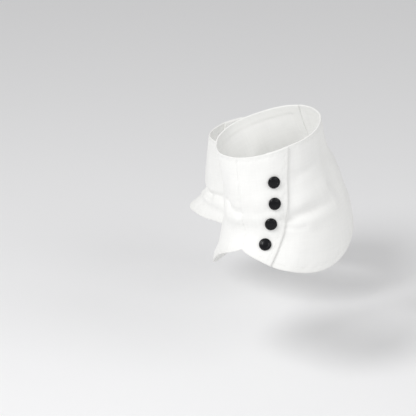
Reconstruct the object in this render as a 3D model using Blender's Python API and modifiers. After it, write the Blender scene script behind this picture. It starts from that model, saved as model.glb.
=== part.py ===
# A pair of button spats as they are worn, with no wearer: metres, +Z up, toes toward -Y, the wearer's
# left toward +X, and the origin at the centre of the left ankle. Each spat is three cut pieces, an
# inner, a front and a back panel, and four buttons on the front panel's flap.
import math
from collections import namedtuple

import bmesh
import bpy
import numpy as np
from mathutils import Matrix, Vector

MM = 0.001            # the sizes below are in millimetres
WALL = 1.5            # cloth with its backing
UNDERLAP = 24         # degrees round the ankle that the back panel runs on under the flap
UNDERLAP_DROP = 1.9   # how far inside the flap's face the underlap lies: a wall and a gap
RAMP_START = 1.5      # degrees behind the flap's edge where the back panel starts to come up flush
RAMP = 18             # degrees that it takes to do so
BUTTON_RADIUS = 5.5
BUTTON_HEIGHT = 3.5
BUTTON_SEAT_RADIUS = 3.8
BUTTON_CLEARANCE = 0.6  # from the cloth at the button's middle, so that its rim clears a hollow
BUTTON_STEPS = 20
PANEL_ROWS = 14       # faces from the top edge to the hem

# Positions on a spat: "around" is in degrees from the centre front, positive on the outer side, and
# "down" is the fraction of the way from the top ring to the lowest one.
# Rings of the worn shape, in mm from the ankle's centre: where the centre front and the centre back
# lie, the half widths, how far the ring sags at its sides, and how much its front and back narrow.
Ring = namedtuple("Ring", "name front front_z back back_z outer inner sag front_pinch back_pinch")
RINGS = (
    Ring("top",    61, 64, -49, 66, 47, 46, 0, 0.05, 0.10),
    Ring("shaft",  67, 36, -54, 37, 45, 41, 1, 0.03, 0.12),
    Ring("ankle",  71, 13, -63, 9, 50, 45, 2, 0.03, 0.12),
    Ring("instep", 74, -7, -66, -20, 54, 58, 13, 0.06, 0.10),
    Ring("lowest", 97, -27, -64, -49, 56, 67, 27, 0.10, 0.05),
)

# The hem of each panel, and the flap's free edge
HemPoint = namedtuple("HemPoint", "around down")
LEFT_FRONT_HEM = (
    HemPoint(0, 0.850), HemPoint(4, 0.868), HemPoint(12, 0.895), HemPoint(19, 0.915), HemPoint(32, 0.950),
)
RIGHT_FRONT_HEM = (
    HemPoint(0, 0.862), HemPoint(4, 0.871), HemPoint(12, 0.889), HemPoint(19, 0.905), HemPoint(32, 0.935),
)
LEFT_BACK_HEM = (
    HemPoint(6, 0.850), HemPoint(19, 0.890), HemPoint(31, 0.942), HemPoint(49, 0.968),
    HemPoint(75, 0.955), HemPoint(105, 0.885), HemPoint(140, 0.825), HemPoint(180, 0.810),
)
RIGHT_BACK_HEM = (
    HemPoint(6, 0.845), HemPoint(19, 0.878), HemPoint(31, 0.927), HemPoint(49, 0.964),
    HemPoint(75, 0.955), HemPoint(105, 0.885), HemPoint(140, 0.825), HemPoint(180, 0.810),
)
LEFT_INNER_HEM = (
    HemPoint(-180, 0.810), HemPoint(-140, 0.825), HemPoint(-105, 0.885), HemPoint(-80, 0.945),
    HemPoint(-60, 0.955), HemPoint(-48, 0.930), HemPoint(-36, 0.900), HemPoint(-20, 0.885),
    HemPoint(-8, 0.870), HemPoint(0, 0.850),
)
RIGHT_INNER_HEM = (
    HemPoint(-180, 0.810), HemPoint(-140, 0.800), HemPoint(-105, 0.775), HemPoint(-75, 0.758),
    HemPoint(-46, 0.780), HemPoint(-35, 0.826), HemPoint(-22, 0.868), HemPoint(-11, 0.896),
    HemPoint(-5, 0.888), HemPoint(0, 0.862),
)
FlapPoint = namedtuple("FlapPoint", "way_down around")
FLAP_EDGE = (
    FlapPoint(0, 58), FlapPoint(0.28, 53), FlapPoint(0.56, 44), FlapPoint(0.76, 36.5), FlapPoint(1, 30.5),
)
Button = namedtuple("Button", "around down")
LEFT_BUTTONS = (Button(40, 0.23), Button(36, 0.42), Button(28, 0.61), Button(22, 0.80))
RIGHT_BUTTONS = (Button(40, 0.205), Button(36, 0.395), Button(28.5, 0.642), Button(22, 0.814))

# Folds of the worn cloth, from a to b: depth and half width in mm, a negative depth is a ridge
Fold = namedtuple("Fold", "name around_a down_a around_b down_b depth half_width")
LEFT_FOLDS = (
    Fold("ankle slant",    44, 0.60, 84, 0.55, 1.6, 7),
    Fold("heel hollow",   112, 0.18, 104, 0.56, 2.4, 10),
    Fold("instep pucker", -30, 0.41, -6, 0.48, 2.0, 6),
    Fold("inner slant",   -52, 0.58, -92, 0.50, 1.8, 8),
    Fold("inner hollow", -116, 0.22, -108, 0.58, 2.2, 10),
)
RIGHT_FOLDS = (
    Fold("front tuck",      0, 0.60, -24, 0.62, 2.5, 7),
    Fold("instep roll",    -6, 0.72, -22, 0.69, -2.0, 5),
    Fold("instep pleat",  -26, 0.61, -56, 0.54, 2.8, 5),
    Fold("inner hollow", -114, 0.20, -106, 0.58, 2.0, 10),
    Fold("flap hollow",    34, 0.46, 18, 0.92, 4.0, 13),
    Fold("ankle slant",    46, 0.58, 86, 0.52, 1.8, 8),
    Fold("heel hollow",   114, 0.20, 106, 0.54, 2.2, 10),
)
MM_PER_DEGREE = 0.95  # distance round the ankle, near enough for a fold's width
SEAM = 0.2            # degrees from a seam's line to each panel's edge, half a gap
BY_SEAM = 2.0         # degrees from a seam's line to the panel's next column, which keeps its edge square
MM_DOWN = 118         # distance from the top ring to the lowest one

# How each spat sits: side is 1 on the wearer's left and -1 on the right, which is its mirror image, and
# toe_up is how far the foot bends up at the ankle. The left heel is raised, the right foot is flat.
Spat = namedtuple(
    "Spat", "name side lean_forward lean_in toe_out toe_up at inner_hem front_hem back_hem folds buttons"
)
SPATS = (
    Spat(
        "left", 1, 9.5, 8, 20, 0, (0, 0, 0),
        LEFT_INNER_HEM, LEFT_FRONT_HEM, LEFT_BACK_HEM, LEFT_FOLDS, LEFT_BUTTONS,
    ),
    Spat(
        "right", -1, 5.5, 3, 46, 7, (-131, 93, -55),
        RIGHT_INNER_HEM, RIGHT_FRONT_HEM, RIGHT_BACK_HEM, RIGHT_FOLDS, RIGHT_BUTTONS,
    ),
)
BEND_START = 0.3      # the fractions of the way down between which the foot bends at the ankle
BEND_END = 0.8

CLOTH_COLOUR = (0.86, 0.86, 0.85, 1)
BUTTON_COLOUR = (0.012, 0.012, 0.014, 1)


def smooth(at, points):
    # A cubic through the table's points, whose first column is the place and second the value
    xs = np.array([p[0] for p in points], float)
    ys = np.array([p[1:] for p in points], float)
    slopes = np.gradient(ys, xs, axis=0)
    i = int(np.clip(np.searchsorted(xs, at, side="right") - 1, 0, len(xs) - 2))
    h = xs[i + 1] - xs[i]
    t = (at - xs[i]) / h
    value = (1 + 2 * t) * (1 - t) ** 2 * ys[i] + t ** 2 * (3 - 2 * t) * ys[i + 1]
    value += h * t * (1 - t) ** 2 * slopes[i] - h * t ** 2 * (1 - t) * slopes[i + 1]
    return value if len(value) > 1 else float(value[0])


def ease(part):
    # From 0 to 1 with no slope at either end
    part = min(max(part, 0), 1)
    return part * part * (3 - 2 * part)


RING_PLACES = [(k / (len(RINGS) - 1),) + tuple(ring[1:]) for k, ring in enumerate(RINGS)]


def plain_point(spat, around, down):
    # The worn shape without its folds: x to the outer side, y to the back, z up, in mm
    ring = Ring("", *smooth(down, RING_PLACES))
    c = math.cos(math.radians(around))
    s = math.sin(math.radians(around))
    half_width = ring.outer if s >= 0 else ring.inner
    middle = (ring.front + ring.back) / 2
    middle_z = (ring.front_z + ring.back_z) / 2
    end, end_z, pinch = (ring.front, ring.front_z, ring.front_pinch)
    if c < 0:
        end, end_z, pinch = (ring.back, ring.back_z, ring.back_pinch)
    forward = middle + (end - middle) * abs(c)
    up = middle_z + (end_z - middle_z) * abs(c) - ring.sag * s * s
    point = Vector((half_width * s * (1 - pinch * c * c), -forward, up))
    bent = ease((down - BEND_START) / (BEND_END - BEND_START))
    return Matrix.Rotation(math.radians(-spat.toe_up * bent), 3, "X") @ point


def outward(spat, around, down):
    # The unit normal of the plain shape
    turn = 0.5
    drop = 0.005
    across = plain_point(spat, around + turn, down) - plain_point(spat, around - turn, down)
    upward = plain_point(spat, around, down - drop) - plain_point(spat, around, down + drop)
    return across.cross(upward).normalized()


def fold_depth(folds, around, down):
    # How far in the folds draw the cloth, each soft across and tapering to its ends
    total = 0
    for fold in folds:
        run = (fold.around_b - fold.around_a, fold.down_b - fold.down_a)
        along = Vector((run[0] * MM_PER_DEGREE, run[1] * MM_DOWN))
        away = Vector(((around - fold.around_a) * MM_PER_DEGREE, (down - fold.down_a) * MM_DOWN))
        part = away.dot(along) / along.length_squared
        nearest = min(max(part, 0), 1)
        distance = (away - along * nearest).length
        total += fold.depth * math.exp(-(distance / fold.half_width) ** 2)
    return total


def cloth_point(spat, around, down, inset=0):
    drop = inset + fold_depth(spat.folds, around, down)
    point = plain_point(spat, around, down) - outward(spat, around, down) * drop
    return Vector((point.x * spat.side, point.y, point.z)) * MM


def cloth_facing(spat, around, down):
    # The unit normal of the folded cloth, taken across a button's seat
    turn = BUTTON_SEAT_RADIUS / MM_PER_DEGREE
    drop = BUTTON_SEAT_RADIUS / MM_DOWN
    across = cloth_point(spat, around + turn, down) - cloth_point(spat, around - turn, down)
    upward = cloth_point(spat, around, down - drop) - cloth_point(spat, around, down + drop)
    return across.cross(upward).normalized() * spat.side


def flap_edge(way_down):
    return smooth(way_down, FLAP_EDGE)


def spread(across, stops, columns):
    # The angle at a part of the way across a panel, whose stretches between stops have these columns
    marks = np.cumsum((0,) + columns) / sum(columns)
    return float(np.interp(across, marks, stops))


def add_material(name, colour, roughness):
    material = bpy.data.materials.new(name)
    material.use_nodes = True
    shader = material.node_tree.nodes["Principled BSDF"]
    shader.inputs["Base Color"].default_value = colour
    shader.inputs["Roughness"].default_value = roughness
    shader.inputs["Metallic"].default_value = 0
    return material


def add_object(name, mesh, material, holder, collection):
    item = bpy.data.objects.new(name, mesh)
    item.data.materials.append(material)
    item.parent = holder
    collection.objects.link(item)
    return item


def add_panel(spat, name, columns, place, holder, collection):
    # A flat grid, one column of faces for each step round the ankle, laid on the worn shape by
    # place(across, way_down), then given its wall inward
    bm = bmesh.new()
    bmesh.ops.create_grid(bm, x_segments=columns, y_segments=PANEL_ROWS, size=0.5)
    for vertex in bm.verts:
        vertex.co = place(vertex.co.x + 0.5, 0.5 - vertex.co.y)
    if spat.side < 0:
        bmesh.ops.reverse_faces(bm, faces=bm.faces)
    mesh = bpy.data.meshes.new(name)
    bm.to_mesh(mesh)
    bm.free()
    mesh.shade_smooth()
    panel = add_object(name, mesh, add_material(name, CLOTH_COLOUR, 0.9), holder, collection)
    wall = panel.modifiers.new("wall", "SOLIDIFY")
    wall.thickness = WALL * MM
    wall.offset = -1
    return panel


def add_inner_panel(spat, holder, collection):
    columns = (1, 20, 1)
    stops = (-180 + SEAM, -180 + BY_SEAM, -BY_SEAM, -SEAM)

    def place(across, way_down):
        around = spread(across, stops, columns)
        return cloth_point(spat, around, way_down * smooth(around, spat.inner_hem))

    return add_panel(spat, f"{spat.name}_inner_panel", sum(columns), place, holder, collection)


def add_front_panel(spat, holder, collection):
    columns = (1, 8)

    def place(across, way_down):
        around = spread(across, (SEAM, BY_SEAM, flap_edge(way_down)), columns)
        return cloth_point(spat, around, way_down * smooth(around, spat.front_hem))

    return add_panel(spat, f"{spat.name}_front_panel", sum(columns), place, holder, collection)


def add_back_panel(spat, holder, collection):
    # From its hidden edge: the underlap, the ramp up to the flap's level, and the rest to the back
    columns = (4, 3, 11, 1)

    def place(across, way_down):
        edge = flap_edge(way_down)
        stops = (edge - UNDERLAP, edge + RAMP_START, edge + RAMP, 180 - BY_SEAM, 180 - SEAM)
        around = spread(across, stops, columns)
        inset = UNDERLAP_DROP * (1 - ease((around - edge - RAMP_START) / (RAMP - RAMP_START)))
        return cloth_point(spat, around, way_down * smooth(around, spat.back_hem), inset)

    return add_panel(spat, f"{spat.name}_back_panel", sum(columns), place, holder, collection)


def add_button(spat, number, button, holder, collection):
    # A low dome turned from its outline, which runs down the outer side from the top to the seat
    outline = (
        (0, BUTTON_HEIGHT), (BUTTON_RADIUS * 0.50, BUTTON_HEIGHT * 0.90),
        (BUTTON_RADIUS * 0.86, BUTTON_HEIGHT * 0.62), (BUTTON_RADIUS, BUTTON_HEIGHT * 0.30),
        (BUTTON_SEAT_RADIUS, 0), (0, 0),
    )
    name = f"{spat.name}_button_{number}"
    mesh = bpy.data.meshes.new(name)
    verts = [(r * MM, 0, z * MM) for r, z in outline]
    mesh.from_pydata(verts, [(k, k + 1) for k in range(len(verts) - 1)], [])
    item = add_object(name, mesh, add_material(name, BUTTON_COLOUR, 0.3), holder, collection)
    turn = item.modifiers.new("turn", "SCREW")
    turn.axis = "Z"
    turn.steps = BUTTON_STEPS
    turn.render_steps = BUTTON_STEPS
    turn.use_merge_vertices = True
    turn.merge_threshold = 0.00001
    facing = cloth_facing(spat, button.around, button.down)
    item.location = cloth_point(spat, button.around, button.down) + facing * BUTTON_CLEARANCE * MM
    item.rotation_euler = facing.to_track_quat("Z", "Y").to_euler()
    return item


def add_spat(spat, collection):
    holder = bpy.data.objects.new(f"{spat.name}_ankle", None)
    holder.location = Vector(spat.at) * MM
    lean_in = -spat.lean_in * spat.side
    toe_out = spat.toe_out * spat.side
    holder.rotation_euler = [math.radians(a) for a in (spat.lean_forward, lean_in, toe_out)]
    collection.objects.link(holder)
    add_inner_panel(spat, holder, collection)
    add_front_panel(spat, holder, collection)
    add_back_panel(spat, holder, collection)
    for number, button in enumerate(spat.buttons, start=1):
        add_button(spat, number, button, holder, collection)


for old in list(bpy.data.objects):
    bpy.data.objects.remove(old)
spats_collection = bpy.data.collections.new("pair_of_spats")
bpy.context.scene.collection.children.link(spats_collection)
for one_spat in SPATS:
    add_spat(one_spat, spats_collection)
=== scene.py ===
import math

import bpy
import numpy as np
from mathutils import Euler, Matrix, Vector


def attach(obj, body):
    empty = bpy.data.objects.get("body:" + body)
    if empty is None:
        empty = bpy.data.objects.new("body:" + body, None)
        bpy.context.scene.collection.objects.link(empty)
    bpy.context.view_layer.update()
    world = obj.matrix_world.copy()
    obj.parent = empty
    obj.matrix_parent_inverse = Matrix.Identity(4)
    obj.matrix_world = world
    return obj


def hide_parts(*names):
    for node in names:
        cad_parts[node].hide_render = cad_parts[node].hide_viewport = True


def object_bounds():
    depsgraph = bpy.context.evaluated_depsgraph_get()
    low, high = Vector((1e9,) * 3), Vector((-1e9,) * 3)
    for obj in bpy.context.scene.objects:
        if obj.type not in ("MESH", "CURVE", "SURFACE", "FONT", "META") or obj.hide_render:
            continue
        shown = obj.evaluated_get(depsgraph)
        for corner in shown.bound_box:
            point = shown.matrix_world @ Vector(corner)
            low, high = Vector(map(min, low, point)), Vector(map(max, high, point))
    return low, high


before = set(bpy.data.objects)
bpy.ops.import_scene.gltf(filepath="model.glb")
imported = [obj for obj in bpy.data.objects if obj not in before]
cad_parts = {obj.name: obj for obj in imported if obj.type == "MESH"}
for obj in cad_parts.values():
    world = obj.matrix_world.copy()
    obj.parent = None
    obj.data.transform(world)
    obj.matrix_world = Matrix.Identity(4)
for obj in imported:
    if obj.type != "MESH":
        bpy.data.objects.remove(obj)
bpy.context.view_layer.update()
print("frame loaded:", len(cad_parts), "nodes")

mm = 0.001    # every size below is in millimetres

# ---- the worn shape, shared by all the panels ----
# around is in degrees from the centre front, positive on the outer side;
# down is the fraction of the way from the top ring to the lowest one
wornShape = {
    # down, then where the centre front and the centre back lie, the half widths,
    # how far the ring sags at its sides, and how much its front and back narrow
    "columns": (
        "down", "front", "frontZ", "back", "backZ", "outer", "inner", "sag", "frontPinch", "backPinch",
    ),
    "rings": (
        (0.00, 61, 64, -49, 66, 47, 46, 0, 0.05, 0.10),      # top
        (0.25, 67, 36, -54, 37, 45, 41, 1, 0.03, 0.12),      # shaft
        (0.50, 71, 13, -63, 9, 50, 45, 2, 0.03, 0.12),       # ankle
        (0.75, 74, -7, -66, -20, 54, 58, 13, 0.06, 0.10),    # instep
        (1.00, 97, -27, -64, -49, 56, 67, 27, 0.10, 0.05),   # lowest
    ),
    "bendStart": 0.3,      # where the foot starts to bend up at the ankle
    "bendEnd": 0.8,
    "mmPerDegree": 0.95,   # round the ankle, near enough for a crease's width
    "mmDown": 118,         # from the top ring to the lowest one
    "normalTurn": 0.5,     # degrees to either side, and share up and down, that a normal is taken over
    "normalDrop": 0.005,
}

# columns of a crease: from around and down, to around and down, depth in mm (below 0 is a ridge),
# half width, and how far its middle bows aside
leftCreases = {
    "ankle slant":       (42, 0.605, 86, 0.575, 2.3, 5, -2),
    "slant's ridge":     (52, 0.670, 90, 0.640, -0.7, 6, -2),
    "flap pucker":       (41, 0.665, 56, 0.680, 0.8, 3, 1),
    "heel hollow":       (112, 0.180, 104, 0.560, 2.4, 10, 3),
    "heel crease":       (97, 0.470, 118, 0.520, 0.8, 5, 2),
    "shaft crease":      (66, 0.250, 92, 0.215, 0.6, 5, 2),
    "instep pucker":     (-30, 0.410, -6, 0.480, 2.0, 5, 1),
    "pucker's pit":      (-30, 0.400, -25, 0.415, 1.1, 2.6, 0),
    "by the front seam": (-3, 0.360, -2, 0.490, 0.5, 2.2, 1),
    "instep ridge":      (-34, 0.520, -8, 0.560, -0.7, 6, 2),
    "flap dip":          (14, 0.500, 27, 0.480, 0.5, 5, 1),
    "inner slant":       (-52, 0.580, -92, 0.500, 1.8, 7, 4),
    "inner fork":        (-70, 0.600, -98, 0.640, 1.0, 5, -3),
    "inner hollow":      (-116, 0.220, -108, 0.580, 2.2, 10, -3),
    "inner shaft":       (-58, 0.290, -90, 0.330, 0.9, 5, 2),
    "inner heel":        (-128, 0.640, -156, 0.560, 0.9, 6, 3),
    "outer heel":        (122, 0.660, 158, 0.590, 1.0, 6, -3),
    "wing roll":         (-44, 0.860, -60, 0.940, -1.4, 5, 0),
}
rightCreases = {
    "front tuck":        (0, 0.600, -24, 0.620, 2.5, 7, 0),
    "instep roll":       (-6, 0.720, -22, 0.690, -2.0, 5, 1),
    "instep pleat":      (-26, 0.610, -56, 0.540, 2.8, 4.5, 2),
    "pleat's ridge":     (-30, 0.680, -60, 0.615, -1.2, 5, 2),
    "lower pleat":       (-18, 0.790, -48, 0.700, 1.2, 4, 2),
    "flap hollow":       (34, 0.460, 18, 0.920, 4.0, 13, 0),
    "inner hollow":      (-114, 0.200, -106, 0.580, 2.0, 10, -3),
    "inner fork":        (-62, 0.430, -90, 0.480, 1.1, 5, -2),
    "inner heel":        (-126, 0.620, -154, 0.540, 0.9, 6, 3),
    "ankle slant":       (46, 0.580, 86, 0.520, 1.8, 7, -3),
    "flap pucker":       (40, 0.650, 55, 0.660, 0.7, 3, 1),
    "heel hollow":       (114, 0.200, 106, 0.540, 2.2, 10, 3),
    "outer heel":        (124, 0.640, 156, 0.580, 1.0, 6, -3),
    "shaft crease":      (68, 0.260, 94, 0.230, 0.6, 5, 2),
}

# hems are (around, down) from one side of a panel to the other
leftFrontHem = ((0, 0.850), (4, 0.868), (12, 0.895), (19, 0.915), (32, 0.950))
rightFrontHem = ((0, 0.862), (4, 0.871), (12, 0.889), (19, 0.905), (32, 0.935))
leftBackHem = (
    (6, 0.850), (19, 0.890), (31, 0.942), (49, 0.968),
    (75, 0.955), (105, 0.885), (140, 0.825), (180, 0.810),
)
rightBackHem = (
    (6, 0.845), (19, 0.878), (31, 0.927), (49, 0.964),
    (75, 0.955), (105, 0.885), (140, 0.825), (180, 0.810),
)
leftInnerHem = (
    (-180, 0.810), (-140, 0.825), (-105, 0.885), (-80, 0.945), (-60, 0.955),
    (-48, 0.930), (-36, 0.900), (-20, 0.885), (-8, 0.870), (0, 0.850),
)
rightInnerHem = (
    (-180, 0.810), (-140, 0.800), (-105, 0.775), (-75, 0.758), (-46, 0.780),
    (-35, 0.826), (-22, 0.868), (-11, 0.896), (-5, 0.888), (0, 0.862),
)

# where the buttons are: around, down
leftButtons = ((40, 0.23), (36, 0.42), (28, 0.61), (22, 0.80))
rightButtons = ((40, 0.205), (36, 0.395), (28.5, 0.642), (22, 0.814))

# side is 1 on the wearer's left and -1 on the right, leans are in degrees, at is the ankle's centre, and
# drift shifts the cloth's slow swells so that the two spats differ
leftSpat = {
    "name": "left", "side": 1, "at": (0, 0, 0),
    "leanForward": 9.5, "leanIn": 8, "toeOut": 20, "toeUp": 0,
    "innerHem": leftInnerHem, "frontHem": leftFrontHem, "backHem": leftBackHem,
    "creases": leftCreases, "buttons": leftButtons, "drift": 0.0,
}
rightSpat = {
    "name": "right", "side": -1, "at": (-131, 93, -55),
    "leanForward": 5.5, "leanIn": 3, "toeOut": 46, "toeUp": 7,
    "innerHem": rightInnerHem, "frontHem": rightFrontHem, "backHem": rightBackHem,
    "creases": rightCreases, "buttons": rightButtons, "drift": 2.1,
}

cloth = {
    "wall": 1.15,           # two plies of cotton and the stiffening between them
    "seamGap": 0.03,        # the seam is drawn up tight, so its two edges meet
    "step": 1.25,           # between mesh points away from the edges
    "edgePlaces": (0, 0.10, 0.28, 0.55, 0.95),    # mesh points in from an edge, which round it over
    "turnWidth": 8,         # the hem's turned-in ply and the seam's allowance, inside
    "turnStep": 0.9,        # the width over which that ply ends
    "turnDepth": 0.4,
    "stitchInset": 3.6,     # the row of stitching, in from a finished edge
    "stitchSink": 0.22,
    "stitchSinkWidth": 1.1,
    "seamSink": 0.25,       # how far the cloth rolls in beside a seam
    "seamSinkWidth": 1.7,
    "seamSquareness": 7,    # a pressed seam's two edges meet nearly square, so that only a fine line shows
    "edgeSquareness": 2,    # a turned edge is half round
    "wearReach": 2.5,       # how far in from a free edge the cloth has greyed
    "noEdge": 99,           # stands for the distance to an edge that a panel doesn't have
}


def ease(part):    # 0 to 1, level at both ends
    part = np.clip(part, 0, 1)
    return part * part * (3 - 2 * part)


def throughTable(at, table):    # a cubic through a table whose first column is the place
    table = np.asarray(table, float)
    xs, ys = table[:, 0], table[:, 1:]
    slopes = np.gradient(ys, xs, axis=0)
    at = np.asarray(at, float)
    i = np.clip(np.searchsorted(xs, at, side="right") - 1, 0, len(xs) - 2)
    h = (xs[i + 1] - xs[i])[..., None]
    t = (at - xs[i])[..., None] / h
    value = (1 + 2 * t) * (1 - t) ** 2 * ys[i] + t * t * (3 - 2 * t) * ys[i + 1]
    value = value + h * t * (1 - t) ** 2 * slopes[i] - h * t * t * (1 - t) * slopes[i + 1]
    return value if ys.shape[1] > 1 else value[..., 0]


def plainPoints(spat, around, down):    # x to the outer side, y back, z up, with no creases
    ring = dict(zip(wornShape["columns"][1:], np.moveaxis(throughTable(down, wornShape["rings"]), -1, 0)))
    c, s = np.cos(np.radians(around)), np.sin(np.radians(around))
    ahead = c > 0
    middle = (ring["front"] + ring["back"]) / 2
    middleZ = (ring["frontZ"] + ring["backZ"]) / 2
    reach = np.where(ahead, ring["front"], ring["back"]) - middle
    rise = np.where(ahead, ring["frontZ"], ring["backZ"]) - middleZ
    pinch = np.where(ahead, ring["frontPinch"], ring["backPinch"])
    x = np.where(s >= 0, ring["outer"], ring["inner"]) * s * (1 - pinch * c * c)
    y = -(middle + reach * np.abs(c))
    z = middleZ + rise * np.abs(c) - ring["sag"] * s * s
    bent = ease((down - wornShape["bendStart"]) / (wornShape["bendEnd"] - wornShape["bendStart"]))
    turn = np.radians(-spat["toeUp"]) * bent
    return np.stack([x, y * np.cos(turn) - z * np.sin(turn), y * np.sin(turn) + z * np.cos(turn)], -1)


def outward(spat, around, down):    # the plain shape's unit normals
    turn, drop = wornShape["normalTurn"], wornShape["normalDrop"]
    across = plainPoints(spat, around + turn, down) - plainPoints(spat, around - turn, down)
    upward = plainPoints(spat, around, down - drop) - plainPoints(spat, around, down + drop)
    normal = np.cross(across, upward)
    return normal / np.linalg.norm(normal, axis=-1, keepdims=True)


def toWorld(spat, points):    # from the spat's own millimetres to the frame's metres
    leanForward, leanIn, toeOut = (math.radians(spat[k]) for k in ("leanForward", "leanIn", "toeOut"))
    pose = np.array(Euler((leanForward, -leanIn * spat["side"], toeOut * spat["side"])).to_matrix())
    return (points * (spat["side"], 1, 1) @ pose.T + spat["at"]) * mm


creaseShape = {"unevenness": 0.25, "swings": 1.1}    # how its depth comes and goes along its run


def creaseRelief(spat, around, down):    # soft troughs and ridges, deepest in the middle of their run
    total = np.zeros(np.broadcast(around, down).shape)
    for fromAround, fromDown, toAround, toDown, depth, halfWidth, bow in spat["creases"].values():
        alongX = (toAround - fromAround) * wornShape["mmPerDegree"]
        alongY = (toDown - fromDown) * wornShape["mmDown"]
        run = math.hypot(alongX, alongY)
        x = (around - fromAround) * wornShape["mmPerDegree"]
        y = (down - fromDown) * wornShape["mmDown"]
        part = (x * alongX + y * alongY) / run ** 2
        aside = (y * alongX - x * alongY) / run - bow * np.sin(np.pi * np.clip(part, 0, 1))
        beyond = (part - np.clip(part, 0, 1)) * run
        uneven = 1 + creaseShape["unevenness"] * np.sin(2 * creaseShape["swings"] * np.pi * part + run)
        total -= depth * uneven * np.exp(-(aside ** 2 + beyond ** 2) / halfWidth ** 2)
    return total


swell = {    # the slow unevenness of hand-fitted cloth
    "height": 0.24,
    "calming": 6,    # quicker waves are lower by this
    # radians to the mm round and down, and phase
    "waves": (
        (0.16, 0.05, 0.3), (0.07, -0.19, 1.9), (-0.11, 0.13, 4.0), (0.29, 0.10, 2.7), (0.05, 0.33, 5.1),
    ),
}


def swellRelief(spat, around, down):
    x = around * wornShape["mmPerDegree"]
    y = down * wornShape["mmDown"]
    total = 0
    for kx, ky, phase in swell["waves"]:
        calmed = 1 + swell["calming"] * math.hypot(kx, ky)
        total = total + np.sin(x * kx + y * ky + phase + spat["drift"]) / calmed
    return swell["height"] * total


buttons = {
    "steps": 72,
    "seat": 3.8,            # radius of the part that faces the cloth
    "lift": 0.45,           # the seat's height over the cloth
    "pull": 0.35,           # how far its thread draws the cloth in
    "pullReach": 7.5,
    # radius and height of the turned outline, from the crown's middle down to the shank
    "outline": (
        (0.00, 2.62), (0.70, 2.61), (1.40, 2.57), (2.10, 2.50), (2.60, 2.43), (2.86, 2.35),
        (3.02, 2.26), (3.20, 2.25), (3.36, 2.31), (3.60, 2.32), (3.95, 2.24), (4.35, 2.08),
        (4.75, 1.83), (5.08, 1.52), (5.32, 1.16), (5.46, 0.82), (5.50, 0.55), (5.40, 0.30),
        (5.10, 0.15), (4.30, 0.10), (3.20, 0.08), (2.10, 0.06), (1.70, -0.05), (1.55, -0.50), (0.00, -0.50),
    ),
}


def buttonPull(spat, around, down):    # the dimples below the buttons
    total = 0
    for buttonAround, buttonDown in spat["buttons"]:
        x = (around - buttonAround) * wornShape["mmPerDegree"]
        y = (down - buttonDown) * wornShape["mmDown"]
        total = total - buttons["pull"] * np.exp(-(x * x + y * y) / buttons["pullReach"] ** 2)
    return total


pucker = {    # small pulls along the stitching and the seams
    "height": 0.10,
    "stitchReach": 3.0,
    "seamReach": 4.5,
    "seamShare": 0.8,
    "waves": ((0.83, 1, 0), (0.52, 0.7, 1.3), (1.31, 0.5, 4)),    # radians to the mm, share, phase
}


def edgeRelief(finished, seam, travel):    # beside the stitched edges and the seams; travel runs along them
    fromRow = finished - cloth["stitchInset"]
    sunk = cloth["stitchSink"] * np.exp(-(fromRow / cloth["stitchSinkWidth"]) ** 2)
    rolled = cloth["seamSink"] * np.exp(-(seam / cloth["seamSinkWidth"]) ** 2)
    pulls = sum(share * np.sin(travel * rate + phase) for rate, share, phase in pucker["waves"])
    near = np.exp(-(fromRow / pucker["stitchReach"]) ** 2)
    near = near + pucker["seamShare"] * np.exp(-(seam / pucker["seamReach"]) ** 2)
    return -sunk - rolled + pucker["height"] * pulls * near


def spacedAlong(length, step):    # places from 0 to 1, close together at both ends
    ends = np.array(cloth["edgePlaces"]) / length
    middle = np.linspace(ends[-1], 1 - ends[-1], max(2, int(length / step)))
    return np.concatenate([ends[:-1], middle, 1 - ends[:-1][::-1]])


def surfaceOf(panel, spat, across, wayDown):
    # for each pair of across and wayDown: where it is, its normal, its relief, the outer face's own relief
    # beside edges, and how far it is from each kind of edge
    around = panel["around"](across, wayDown)
    hem = throughTable(around, spat[panel["hem"]])
    down = wayDown * hem
    width = np.abs(panel["around"](1.0, wayDown) - panel["around"](0.0, wayDown)) * wornShape["mmPerDegree"]
    length = hem * wornShape["mmDown"]
    sides = {"first": across * width, "last": (1 - across) * width}
    topAndHem = np.minimum(wayDown, 1 - wayDown) * length
    finished = np.minimum(topAndHem, sides["last"]) if panel["lastEdge"] == "finished" else topAndHem
    seam = np.full_like(topAndHem, cloth["noEdge"])
    if panel["firstEdge"] == "seam":
        seam = np.minimum(seam, sides["first"])
    if panel["lastEdge"] == "seam":
        seam = np.minimum(seam, sides["last"])
    free = finished if panel["firstEdge"] != "hidden" else np.minimum(finished, sides["first"])
    travel = around * wornShape["mmPerDegree"] + down * wornShape["mmDown"]
    inset = panel["inset"](around, wayDown)
    relief = creaseRelief(spat, around, down) + swellRelief(spat, around, down) - inset
    if panel["pulled"]:
        relief = relief + buttonPull(spat, around, down)
    covered = inset / flap["underlapDrop"]    # the underlap's face stays plain where the flap lies on it
    return {
        "points": plainPoints(spat, around, down), "normals": outward(spat, around, down), "relief": relief,
        "faceRelief": edgeRelief(finished, seam, travel) * (1 - covered),
        "around": around, "down": down, "finished": finished, "seam": seam, "free": free,
    }


flap = {
    "edge": ((0, 58), (0.28, 53), (0.56, 44), (0.76, 36.5), (1, 30.5)),    # way down, around
    "underlap": 24,         # degrees that the back panel runs on below it
    "underlapDrop": 1.62,   # how much further in it lies
    "rampStart": 0.6,       # degrees behind the flap's edge where the back panel starts to come up flush
    "ramp": 17,             # and where it has done so
}


def flapAround(wayDown):
    return throughTable(wayDown, flap["edge"])


def seamDegrees():
    return cloth["seamGap"] / 2 / wornShape["mmPerDegree"]


def innerAround(across, wayDown):
    return -180 + seamDegrees() + across * (180 - 2 * seamDegrees()) + 0 * wayDown


def frontAround(across, wayDown):
    return seamDegrees() + across * (flapAround(wayDown) - seamDegrees())


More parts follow.
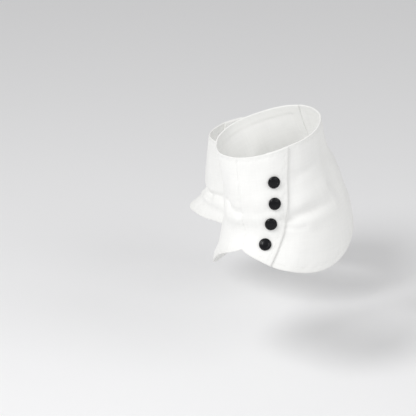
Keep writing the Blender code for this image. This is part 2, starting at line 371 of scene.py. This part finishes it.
def backAround(across, wayDown):
    start = flapAround(wayDown) - flap["underlap"]
    return start + across * (180 - seamDegrees() - start)


def noInset(around, wayDown):
    return 0 * around


def backInset(around, wayDown):    # under the flap the back panel lies a ply further in
    risen = (around - flapAround(wayDown) - flap["rampStart"]) / (flap["ramp"] - flap["rampStart"])
    return flap["underlapDrop"] * (1 - ease(risen))


# width and length set the spacing of the mesh, in mm; each spat's cut is the flattened panel's width and
# length in mm and its area in square metres, less than the rectangle's because its edges are curved
panels = {
    "inner_panel": {
        "around": innerAround, "inset": noInset, "hem": "innerHem", "pulled": False,
        "firstEdge": "seam", "lastEdge": "seam", "width": 205, "length": 118,
        "leftCut": (196, 129, 0.0192), "rightCut": (195, 108, 0.0164),
    },
    "front_panel": {
        "around": frontAround, "inset": noInset, "hem": "frontHem", "pulled": True,
        "firstEdge": "seam", "lastEdge": "finished", "width": 52, "length": 110,
        "leftCut": (49, 107, 0.0040), "rightCut": (48, 100, 0.0036),
    },
    "back_panel": {
        "around": backAround, "inset": backInset, "hem": "backHem", "pulled": True,
        "firstEdge": "hidden", "lastEdge": "seam", "width": 205, "length": 122,
        "leftCut": (189, 123, 0.0177), "rightCut": (187, 121, 0.0177),
    },
}


def addMesh(name, points, faces, material):
    mesh = bpy.data.meshes.new(name)
    mesh.from_pydata(points.tolist(), [], faces)
    mesh.shade_smooth()
    mesh.update()
    mesh.materials.append(material)
    item = bpy.data.objects.new(name, mesh)
    bpy.context.scene.collection.objects.link(item)
    return item


def layFlat(item, uv, wear):    # the cut's own millimetres for the weave, and where the cloth has greyed
    mesh = item.data
    corner = np.zeros(len(mesh.loops), int)
    mesh.loops.foreach_get("vertex_index", corner)
    mesh.uv_layers.new(name="cut").data.foreach_set("uv", uv[corner].astype(np.float32).ravel())
    mesh.attributes.new("wear", "FLOAT", "POINT").data.foreach_set("value", wear.astype(np.float32))


def edgeRounding(distance, squareness):    # how far a face has fallen toward the middle of the wall
    half = cloth["wall"] / 2
    part = np.clip(1 - distance / half, 0, 1)
    return half * (1 - (1 - part ** squareness) ** (1 / squareness))


def addPanel(spat, name):
    # a closed shell: the outer and the inner face share the points along the edge
    panel = panels[name]
    across = spacedAlong(panel["width"], cloth["step"])
    wayDown = spacedAlong(panel["length"], cloth["step"])
    acrossGrid, downGrid = np.meshgrid(across, wayDown)
    s = surfaceOf(panel, spat, acrossGrid, downGrid)
    rounding = np.maximum(
        edgeRounding(s["free"], cloth["edgeSquareness"]), edgeRounding(s["seam"], cloth["seamSquareness"]))
    inFromEdge = np.clip(np.minimum(s["free"], s["seam"]) / (cloth["wall"] / 2), 0, 1)
    turned = 1 - ease((np.minimum(s["finished"], s["seam"]) - cloth["turnWidth"]) / cloth["turnStep"])
    thick = cloth["wall"] + cloth["turnDepth"] * turned * inFromEdge
    outer = s["points"] + s["normals"] * (s["relief"] + s["faceRelief"] - rounding)[..., None]
    inner = s["points"] + s["normals"] * (s["relief"] - thick + rounding)[..., None]
    rows, columns = acrossGrid.shape
    outerIndex = np.arange(rows * columns).reshape(rows, columns)
    innerIndex = outerIndex.copy()
    innerIndex[1:-1, 1:-1] = rows * columns + np.arange((rows - 2) * (columns - 2)).reshape(rows - 2, -1)

    def quads(index):
        return np.stack([index[:-1, :-1], index[1:, :-1], index[1:, 1:], index[:-1, 1:]], -1).reshape(-1, 4)

    faces = np.concatenate([quads(outerIndex), quads(innerIndex)[:, ::-1]])
    if spat["side"] < 0:
        faces = faces[:, ::-1]
    points = np.concatenate([outer.reshape(-1, 3), inner[1:-1, 1:-1].reshape(-1, 3)])
    flat = np.stack([s["around"] * wornShape["mmPerDegree"], s["down"] * wornShape["mmDown"]], -1)
    wear = np.exp(-s["free"] / cloth["wearReach"])
    item = addMesh(f"{spat['name']}_{name}_cloth", toWorld(spat, points), faces.tolist(), backedCotton)
    layFlat(item, np.concatenate([flat.reshape(-1, 2), flat[1:-1, 1:-1].reshape(-1, 2)]),
            np.concatenate([wear.ravel(), wear[1:-1, 1:-1].ravel()]))
    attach(item, "root")
    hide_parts(f"{spat['name']}_{name}")
    corners = points[quads(outerIndex)]
    diagonals = np.cross(corners[:, 2] - corners[:, 0], corners[:, 3] - corners[:, 1])
    area = np.linalg.norm(diagonals, axis=1).sum() / 2
    widest = np.linalg.norm(np.diff(outer, axis=1), axis=-1).sum(1).max()
    longest = np.linalg.norm(np.diff(outer, axis=0), axis=-1).sum(0).max()
    print(f"{item.name}: {widest:.0f} by {longest:.0f} mm, {area / 1e6:.4f} square metres")
    return item


stitch = {
    "length": 2.3,
    "pitch": 2.9,
    "width": 0.46,
    "height": 0.30,
    "proud": 0.03,          # the thread's middle, over the face
    "fatness": 0.97,        # of its half length, out to where its end is closed
    "firstStart": 0.4,
    "seamClear": 2.2,       # how far the rows stop short of a seam
    "hemPlace": 0.9,        # the usual way down of a hem, to set the rows along the top and the hem
    "sides": 6,
    "rings": 5,
    "samples": 400,         # of the row that the stitches are measured off along
}


def stitchLine(panel, spat, across, wayDown):    # world points and normals just over the face along a row
    s = surfaceOf(panel, spat, across, wayDown)
    points = s["points"] + s["normals"] * (s["relief"] + s["faceRelief"] + stitch["proud"])[..., None]
    turned = toWorld(spat, s["points"] + s["normals"]) - toWorld(spat, s["points"])
    return toWorld(spat, points), turned / mm


def oneStitch(points, normals, travel, start):    # a lens of thread that lies along the row
    at = start + stitch["length"] * np.linspace(0, 1, stitch["rings"])
    centre = np.stack([np.interp(at, travel, points[:, k]) for k in range(3)], -1)
    up = np.array([np.interp(at[stitch["rings"] // 2], travel, normals[:, k]) for k in range(3)])
    along = centre[-1] - centre[0]
    aside = np.cross(along / np.linalg.norm(along), up)
    ends = np.linspace(-stitch["fatness"], stitch["fatness"], stitch["rings"])
    fat = np.sqrt(np.clip(1 - ends ** 2, 0, 1))
    angles = np.linspace(0, 2 * np.pi, stitch["sides"], endpoint=False)
    ring = (np.cos(angles)[:, None] * aside * stitch["width"]
            + np.sin(angles)[:, None] * up * stitch["height"]) / 2 * mm
    return (centre[:, None] + ring[None] * fat[:, None, None]).reshape(-1, 3)


def addStitches(spat, name):
    # rows of stitches along the top, the hem and, on the flap, its free edge
    panel = panels[name]
    inset = cloth["stitchInset"]
    first = stitch["seamClear"] / panel["width"]
    last = 1 - (inset if panel["lastEdge"] == "finished" else stitch["seamClear"]) / panel["width"]
    top = inset / (stitch["hemPlace"] * wornShape["mmDown"])
    places = np.linspace(first, last, stitch["samples"])
    rows = [(places, np.full_like(places, top)), (places, np.full_like(places, 1 - top))]
    if panel["lastEdge"] == "finished":
        wayDown = np.linspace(top, 1 - top, stitch["samples"])
        rows.append((1 - inset / (flapAround(wayDown) * wornShape["mmPerDegree"]), wayDown))
    sides, rings = stitch["sides"], stitch["rings"]
    bodies, faces = [], []
    for across, wayDown in rows:
        points, normals = stitchLine(panel, spat, across, wayDown)
        travel = np.concatenate([[0], np.cumsum(np.linalg.norm(np.diff(points, axis=0), axis=1))]) / mm
        for start in np.arange(stitch["firstStart"], travel[-1] - stitch["length"], stitch["pitch"]):
            index = len(bodies) * sides * rings + np.arange(sides * rings).reshape(rings, sides)
            beside = np.roll(index, -1, axis=1)
            band = np.stack([index[:-1], beside[:-1], beside[1:], index[1:]], -1).reshape(-1, 4)
            faces += band.tolist() + [index[0][::-1].tolist(), index[-1].tolist()]
            bodies.append(oneStitch(points, normals, travel, start))
    item = addMesh(f"{spat['name']}_{name}_stitches", np.concatenate(bodies), faces, polyesterThread)
    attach(item, "root")
    return item


def addButton(spat, number, around, down):
    # turned round its own axis, then stood on the flap, square to the cloth across its seat
    outline = np.array(buttons["outline"])
    steps = buttons["steps"]
    angles = np.linspace(0, 2 * np.pi, steps, endpoint=False)
    rings = outline[1:-1]
    radius, height = rings[:, None, 0], rings[:, None, 1]
    points = np.stack([radius * np.cos(angles), radius * np.sin(angles), height + 0 * angles], -1)
    points = np.concatenate([points.reshape(-1, 3), [[0, 0, outline[0, 1]], [0, 0, outline[-1, 1]]]])
    index = np.arange(len(rings) * steps).reshape(len(rings), steps)
    beside = np.roll(index, -1, axis=1)
    faces = np.stack([index[:-1], index[1:], beside[1:], beside[:-1]], -1).reshape(-1, 4).tolist()
    crown, foot = len(points) - 2, len(points) - 1
    faces += [[crown, a, b] for a, b in zip(index[0], beside[0])]
    faces += [[foot, b, a] for a, b in zip(index[-1], beside[-1])]
    item = addMesh(f"{spat['name']}_button_{number}_moulded", points * mm, faces, mouldedPlastic)
    turn, drop = buttons["seat"] / wornShape["mmPerDegree"], buttons["seat"] / wornShape["mmDown"]
    a = np.array([0, turn, -turn, 0, 0]) + around
    d = np.array([0, 0, 0, -drop, drop]) + down
    relief = creaseRelief(spat, a, d) + swellRelief(spat, a, d) + buttonPull(spat, a, d)
    seat = plainPoints(spat, a, d) + outward(spat, a, d) * relief[:, None]
    middle, outer, inner, above, below = toWorld(spat, seat)
    facing = Vector(np.cross(outer - inner, above - below) * spat["side"]).normalized()
    stand = Matrix.Translation(Vector(middle) + facing * buttons["lift"] * mm)
    item.matrix_world = stand @ facing.to_track_quat("Z", "Y").to_matrix().to_4x4()
    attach(item, "root")
    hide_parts(f"{spat['name']}_button_{number}")


def linear(hexColour):    # an sRGB hex value as the linear colour that shaders take
    parts = [int(hexColour[k:k + 2], 16) / 255 for k in (1, 3, 5)]
    return [p / 12.92 if p <= 0.04045 else ((p + 0.055) / 1.055) ** 2.4 for p in parts] + [1]


def addNode(material, kind, settings=None, links=None, values=None):
    # a node with its settings, the values of its sockets, and the links into it
    tree = material.node_tree
    node = tree.nodes.new(kind)
    for key, value in (settings or {}).items():
        setattr(node, key, value)
    for key, value in (values or {}).items():
        node.inputs[key].default_value = value
    for key, source in (links or {}).items():
        tree.links.new(source, node.inputs[key])
    return node


def newMaterial(name):
    material = bpy.data.materials.new(name)
    material.use_nodes = True
    return material, material.node_tree.nodes["Principled BSDF"]


def blendStops(node, stops):    # the stops of a colour ramp: place and hex colour
    ramp = node.color_ramp
    while len(ramp.elements) < len(stops):
        ramp.elements.new(0.5)
    for element, (place, colour) in zip(ramp.elements, stops):
        element.position = place
        element.color = linear(colour)


cottonLook = {
    "threadSpacing": 0.75,    # mm; the real drill has two threads to the mm, drawn coarser so that it shows
    "threadHeight": 0.1,      # mm, as the next two heights are
    "slub": 0.55,             # thicker threads to the mm
    "slubLength": 22.0,       # mm that one runs
    "slubHeight": 0.1,
    "fuzz": 1.6,              # tufts to the mm
    "fuzzHeight": 0.1,
    "bleached": "#F7F7F5",
    "shaded": "#F3F3F1",
    "edge": "#EAEAE7",
    "edgeShare": 0.55,        # of the edge's colour right at it
    "roughness": (0.82, 0.96),
    "sheen": 0.18,
}


def makeBackedCotton():
    # bleached cotton drill fused to a stiffening: matte, with a fine close weave and thicker threads here
    # and there, and a soft fuzz that lightens it at grazing angles
    material, shader = newMaterial("bleached cotton drill, backed")
    place = addNode(material, "ShaderNodeTexCoord").outputs["UV"]
    scale = 2 * math.pi / cottonLook["threadSpacing"] / 20    # a wave texture has 20 radians to the unit
    warp, weft = (
        addNode(material, "ShaderNodeTexWave", {"bands_direction": direction}, {"Vector": place},
                {"Scale": scale, "Distortion": 0.35, "Detail": 1.0, "Detail Scale": 0.6})
        for direction in "XY")
    weave = addNode(material, "ShaderNodeMix", {"data_type": "RGBA", "blend_type": "LIGHTEN"},
                    {6: warp.outputs["Color"], 7: weft.outputs["Color"]}, {0: 1.0})
    streaks = []
    for stretch in ((cottonLook["slub"], 1 / cottonLook["slubLength"], 1),
                    (1 / cottonLook["slubLength"], cottonLook["slub"], 1)):
        drawn = addNode(material, "ShaderNodeMapping", None, {"Vector": place}, {"Scale": stretch})
        streaks.append(addNode(material, "ShaderNodeTexNoise", None, {"Vector": drawn.outputs["Vector"]},
                               {"Scale": 1.0, "Detail": 3.0, "Roughness": 0.65}).outputs["Fac"])
    slubs = addNode(material, "ShaderNodeMath", {"operation": "MULTIPLY_ADD"},
                    {0: streaks[0], 2: streaks[1]}, {1: 1.0})
    slubs = addNode(material, "ShaderNodeMath", {"operation": "MULTIPLY"}, {0: slubs.outputs[0]}, {1: 0.5})
    fuzz = addNode(material, "ShaderNodeTexNoise", None, {"Vector": place},
                   {"Scale": cottonLook["fuzz"], "Detail": 3.0})
    tone = addNode(material, "ShaderNodeValToRGB", None, {"Fac": slubs.outputs[0]})
    blendStops(tone, ((0.34, cottonLook["shaded"]), (0.62, cottonLook["bleached"])))
    wear = addNode(material, "ShaderNodeAttribute", {"attribute_name": "wear"})
    worn = addNode(material, "ShaderNodeMath", {"operation": "MULTIPLY"}, {0: wear.outputs["Fac"]},
                   {1: cottonLook["edgeShare"]})
    colour = addNode(material, "ShaderNodeMix", {"data_type": "RGBA"},
                     {0: worn.outputs[0], 6: tone.outputs["Color"]}, {7: linear(cottonLook["edge"])})
    material.node_tree.links.new(colour.outputs[2], shader.inputs["Base Color"])
    least, most = cottonLook["roughness"]
    dull = addNode(material, "ShaderNodeMapRange", None, {"Value": fuzz.outputs["Fac"]},
                   {"To Min": least, "To Max": most})
    material.node_tree.links.new(dull.outputs[0], shader.inputs["Roughness"])
    coarse = addNode(material, "ShaderNodeBump", None, {"Height": slubs.outputs[0]},
                     {"Strength": 0.2, "Distance": cottonLook["slubHeight"] * mm})
    fine = addNode(material, "ShaderNodeBump", None,
                   {"Height": weave.outputs[2], "Normal": coarse.outputs["Normal"]},
                   {"Strength": 0.3, "Distance": cottonLook["threadHeight"] * mm})
    fuzzy = addNode(material, "ShaderNodeBump", None,
                    {"Height": fuzz.outputs["Fac"], "Normal": fine.outputs["Normal"]},
                    {"Strength": 0.15, "Distance": cottonLook["fuzzHeight"] * mm})
    material.node_tree.links.new(fuzzy.outputs["Normal"], shader.inputs["Normal"])
    shader.inputs["IOR"].default_value = 1.47    # cotton fibre
    shader.inputs["Specular IOR Level"].default_value = 0.25
    shader.inputs["Sheen Weight"].default_value = cottonLook["sheen"]
    shader.inputs["Sheen Roughness"].default_value = 0.5
    return material


threadLook = {
    "twists": 2500.0,         # to the metre: 0.4 mm each
    "twistHeight": 0.1,       # mm
    "shaded": "#E9E9E6",
    "bright": "#FAFAF8",
    "roughness": 0.55,
}


def makePolyesterThread():
    # spun polyester sewing thread: a little brighter and glossier than the cloth, twisted in fine ridges
    material, shader = newMaterial("spun polyester thread")
    place = addNode(material, "ShaderNodeTexCoord").outputs["Object"]
    twist = addNode(material, "ShaderNodeTexNoise", None, {"Vector": place},
                    {"Scale": threadLook["twists"], "Detail": 2.0})
    tone = addNode(material, "ShaderNodeValToRGB", None, {"Fac": twist.outputs["Fac"]})
    blendStops(tone, ((0.3, threadLook["shaded"]), (0.7, threadLook["bright"])))
    material.node_tree.links.new(tone.outputs["Color"], shader.inputs["Base Color"])
    bump = addNode(material, "ShaderNodeBump", None, {"Height": twist.outputs["Fac"]},
                   {"Strength": 0.4, "Distance": threadLook["twistHeight"] * mm})
    material.node_tree.links.new(bump.outputs["Normal"], shader.inputs["Normal"])
    shader.inputs["Roughness"].default_value = threadLook["roughness"]
    shader.inputs["IOR"].default_value = 1.57    # polyester
    return material


buttonLook = {
    "peel": 900.0,            # to the metre: the mould's faint dimples are 1.1 mm apart
    "peelHeight": 0.1,        # mm
    "rubs": 260.0,            # to the metre: duller patches are 4 mm apart
    "deep": "#040508",
    "rubbed": "#0C0D12",
    "roughness": (0.20, 0.32),
}


def makeMouldedPlastic():
    # black nylon from a polished mould: deep, with soft highlights and a faint orange peel
    material, shader = newMaterial("black nylon, moulded")
    place = addNode(material, "ShaderNodeTexCoord").outputs["Object"]
    peel = addNode(material, "ShaderNodeTexNoise", None, {"Vector": place},
                   {"Scale": buttonLook["peel"], "Detail": 2.0})
    rubbed = addNode(material, "ShaderNodeTexNoise", None, {"Vector": place},
                     {"Scale": buttonLook["rubs"], "Detail": 4.0, "Roughness": 0.65})
    least, most = buttonLook["roughness"]
    gloss = addNode(material, "ShaderNodeMapRange", None, {"Value": rubbed.outputs["Fac"]},
                    {"From Min": 0.3, "From Max": 0.7, "To Min": least, "To Max": most})
    material.node_tree.links.new(gloss.outputs[0], shader.inputs["Roughness"])
    tone = addNode(material, "ShaderNodeValToRGB", None, {"Fac": rubbed.outputs["Fac"]})
    blendStops(tone, ((0.3, buttonLook["deep"]), (0.75, buttonLook["rubbed"])))
    material.node_tree.links.new(tone.outputs["Color"], shader.inputs["Base Color"])
    bump = addNode(material, "ShaderNodeBump", None, {"Height": peel.outputs["Fac"]},
                   {"Strength": 0.12, "Distance": buttonLook["peelHeight"] * mm})
    material.node_tree.links.new(bump.outputs["Normal"], shader.inputs["Normal"])
    shader.inputs["IOR"].default_value = 1.53    # nylon
    shader.inputs["Specular IOR Level"].default_value = 0.24    # carbon black dulls it
    return material


backedCotton = makeBackedCotton()
polyesterThread = makePolyesterThread()
mouldedPlastic = makeMouldedPlastic()
print("materials made")

for spat in (leftSpat, rightSpat):
    made = {name: addPanel(spat, name) for name in panels}
    for name, item in made.items():
        stitches = addStitches(spat, name)
    for number, (around, down) in enumerate(spat["buttons"], start=1):
        addButton(spat, number, around, down)
    print(spat["name"], "spat made")

stage = {
    "floorUnder": 60,          # mm below the lowest hem: the shoe's sole would stand there
    "floorSize": 12,           # metres
    "floorColour": "#F3F3F4",
    "cameraAzimuth": 54,
    "cameraElevation": 20,
    "cameraDistance": 2.0,     # metres to the left ankle's centre
    "mmAcross": 374.4,         # width of the view there
    "ankleAt": (0.18630, 0.03486),    # left ankle's centre from the view's middle, in shares of its width
    "sensor": 36,
    "skyStrength": 0.53,
}
lights = {    # metres across and away, watts, and degrees
    "key": {"size": 0.7, "power": 12.8, "azimuth": 8, "elevation": 46, "distance": 1.6},
    "fill": {"size": 1.4, "power": 9, "azimuth": 104, "elevation": 34, "distance": 2.2},
}


def toward(azimuth, elevation):    # unit vector; azimuth 0 is straight ahead of the toes
    a, e = math.radians(azimuth), math.radians(elevation)
    return Vector((math.sin(a) * math.cos(e), -math.cos(a) * math.cos(e), math.sin(e)))


def addFloor():
    low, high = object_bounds()
    height = low.z - stage["floorUnder"] * mm
    bpy.ops.mesh.primitive_plane_add(size=stage["floorSize"], location=(0, 0, height))
    floor = bpy.context.object
    floor.name = "floor"
    material, shader = newMaterial("matt studio paint")
    shader.inputs["Base Color"].default_value = linear(stage["floorColour"])
    shader.inputs["Roughness"].default_value = 0.9
    floor.data.materials.append(material)


def addCamera():
    azimuth = math.radians(stage["cameraAzimuth"])
    back = toward(stage["cameraAzimuth"], stage["cameraElevation"])
    right = Vector((math.cos(azimuth), math.sin(azimuth), 0))
    up = back.cross(right)
    across = stage["mmAcross"] * mm
    aside, above = (share * across for share in stage["ankleAt"])
    camera = bpy.data.cameras.new("camera")
    camera.sensor_width = stage["sensor"]
    camera.lens = stage["sensor"] * stage["cameraDistance"] / across
    item = bpy.data.objects.new("camera", camera)
    bpy.context.scene.collection.objects.link(item)
    turn = Matrix((right, up, back)).transposed().to_4x4()
    place = back * stage["cameraDistance"] - right * aside - up * above
    item.matrix_world = Matrix.Translation(place) @ turn
    bpy.context.scene.camera = item


def addLight(name, size, power, azimuth, elevation, distance):    # a soft box that faces the ankles
    light = bpy.data.lights.new(name, "AREA")
    light.shape = "DISK"
    light.size = size
    light.energy = power
    item = bpy.data.objects.new(name, light)
    bpy.context.scene.collection.objects.link(item)
    away = toward(azimuth, elevation)
    turn = away.to_track_quat("Z", "Y").to_matrix().to_4x4()
    item.matrix_world = Matrix.Translation(away * distance) @ turn


def addSky():    # plain white all round
    world = bpy.data.worlds.new("studio")
    bpy.context.scene.world = world
    world.use_nodes = True
    background = world.node_tree.nodes["Background"]
    background.inputs["Color"].default_value = (1, 1, 1, 1)
    background.inputs["Strength"].default_value = stage["skyStrength"]


addFloor()
addCamera()
for name, settings in lights.items():
    addLight(name, **settings)
addSky()
bpy.context.scene.view_settings.view_transform = "Standard"
print("stage set")
